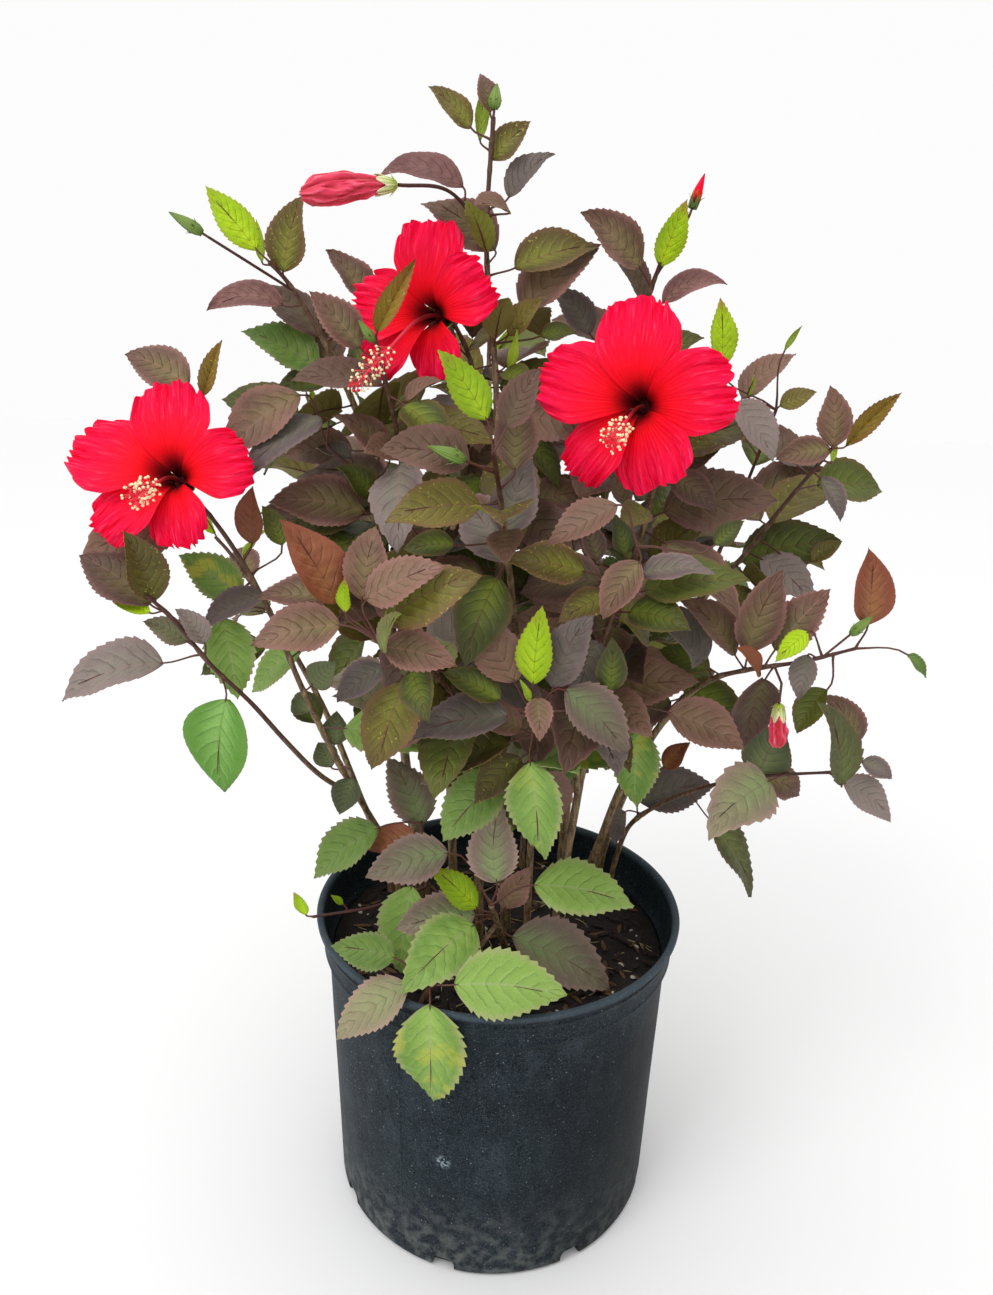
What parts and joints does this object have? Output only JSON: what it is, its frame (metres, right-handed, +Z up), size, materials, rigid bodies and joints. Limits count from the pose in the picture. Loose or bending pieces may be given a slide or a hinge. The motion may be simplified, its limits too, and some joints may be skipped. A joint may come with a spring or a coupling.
{
  "type": "potted red hot hibiscus",
  "caption": "Bushy tropical hibiscus with wide red blooms, dark and lime toothed leaves and woody canes, standing in a round nursery pot of potting mix.",
  "frame": {"origin": "centre of the pot's flat underside, on the surface that it stands on", "axes": "+Z up along the pot's axis, -Y towards the side that the picture shows, +X to that view's right"},
  "size_m": [0.5582, 0.4308, 0.8129],
  "materials": {
    "pot_plastic": "moulded, matt, dusty",
    "potting_mix": "loose damp mix with bark chips",
    "cane_and_leaf": "satin leaves on ringed woody canes",
    "petal": "soft sheen, radial veins",
    "column": "satin, with powdery anthers",
    "calyx": "satin, ribbed",
    "spent_petal": "crumpled, dull"
  },
  "bodies": {
    "root": {"pot": "pot_plastic", "potting_mix": "potting_mix", "cane_lead": "cane_and_leaf", "cane_left_top": "cane_and_leaf", "cane_left_middle": "cane_and_leaf", "cane_left_bloom": "cane_and_leaf", "cane_left_rosette": "cane_and_leaf", "cane_centre_rosette": "cane_and_leaf", "cane_front_low": "cane_and_leaf", "cane_low_left": "cane_and_leaf", "cane_right_top": "cane_and_leaf", "cane_right_bloom": "cane_and_leaf", "cane_right_middle": "cane_and_leaf", "cane_right_low": "cane_and_leaf", "cane_right_lowest": "cane_and_leaf", "cane_centre_bloom": "cane_and_leaf", "cane_back_left": "cane_and_leaf", "cane_back_far_left": "cane_and_leaf", "cane_back_middle": "cane_and_leaf", "cane_back_low": "cane_and_leaf", "cane_back_right": "cane_and_leaf", "bloom_right_petals": "petal", "bloom_right_column": "column", "bloom_right_calyx": "calyx", "bloom_left_petals": "petal", "bloom_left_column": "column", "bloom_left_calyx": "calyx", "bloom_centre_petals": "petal", "bloom_centre_column": "column", "bloom_centre_calyx": "calyx", "spent_top_petals": "spent_petal", "spent_top_calyx": "calyx", "spent_right_petals": "spent_petal", "spent_right_calyx": "calyx"}
  },
  "joints": []
}
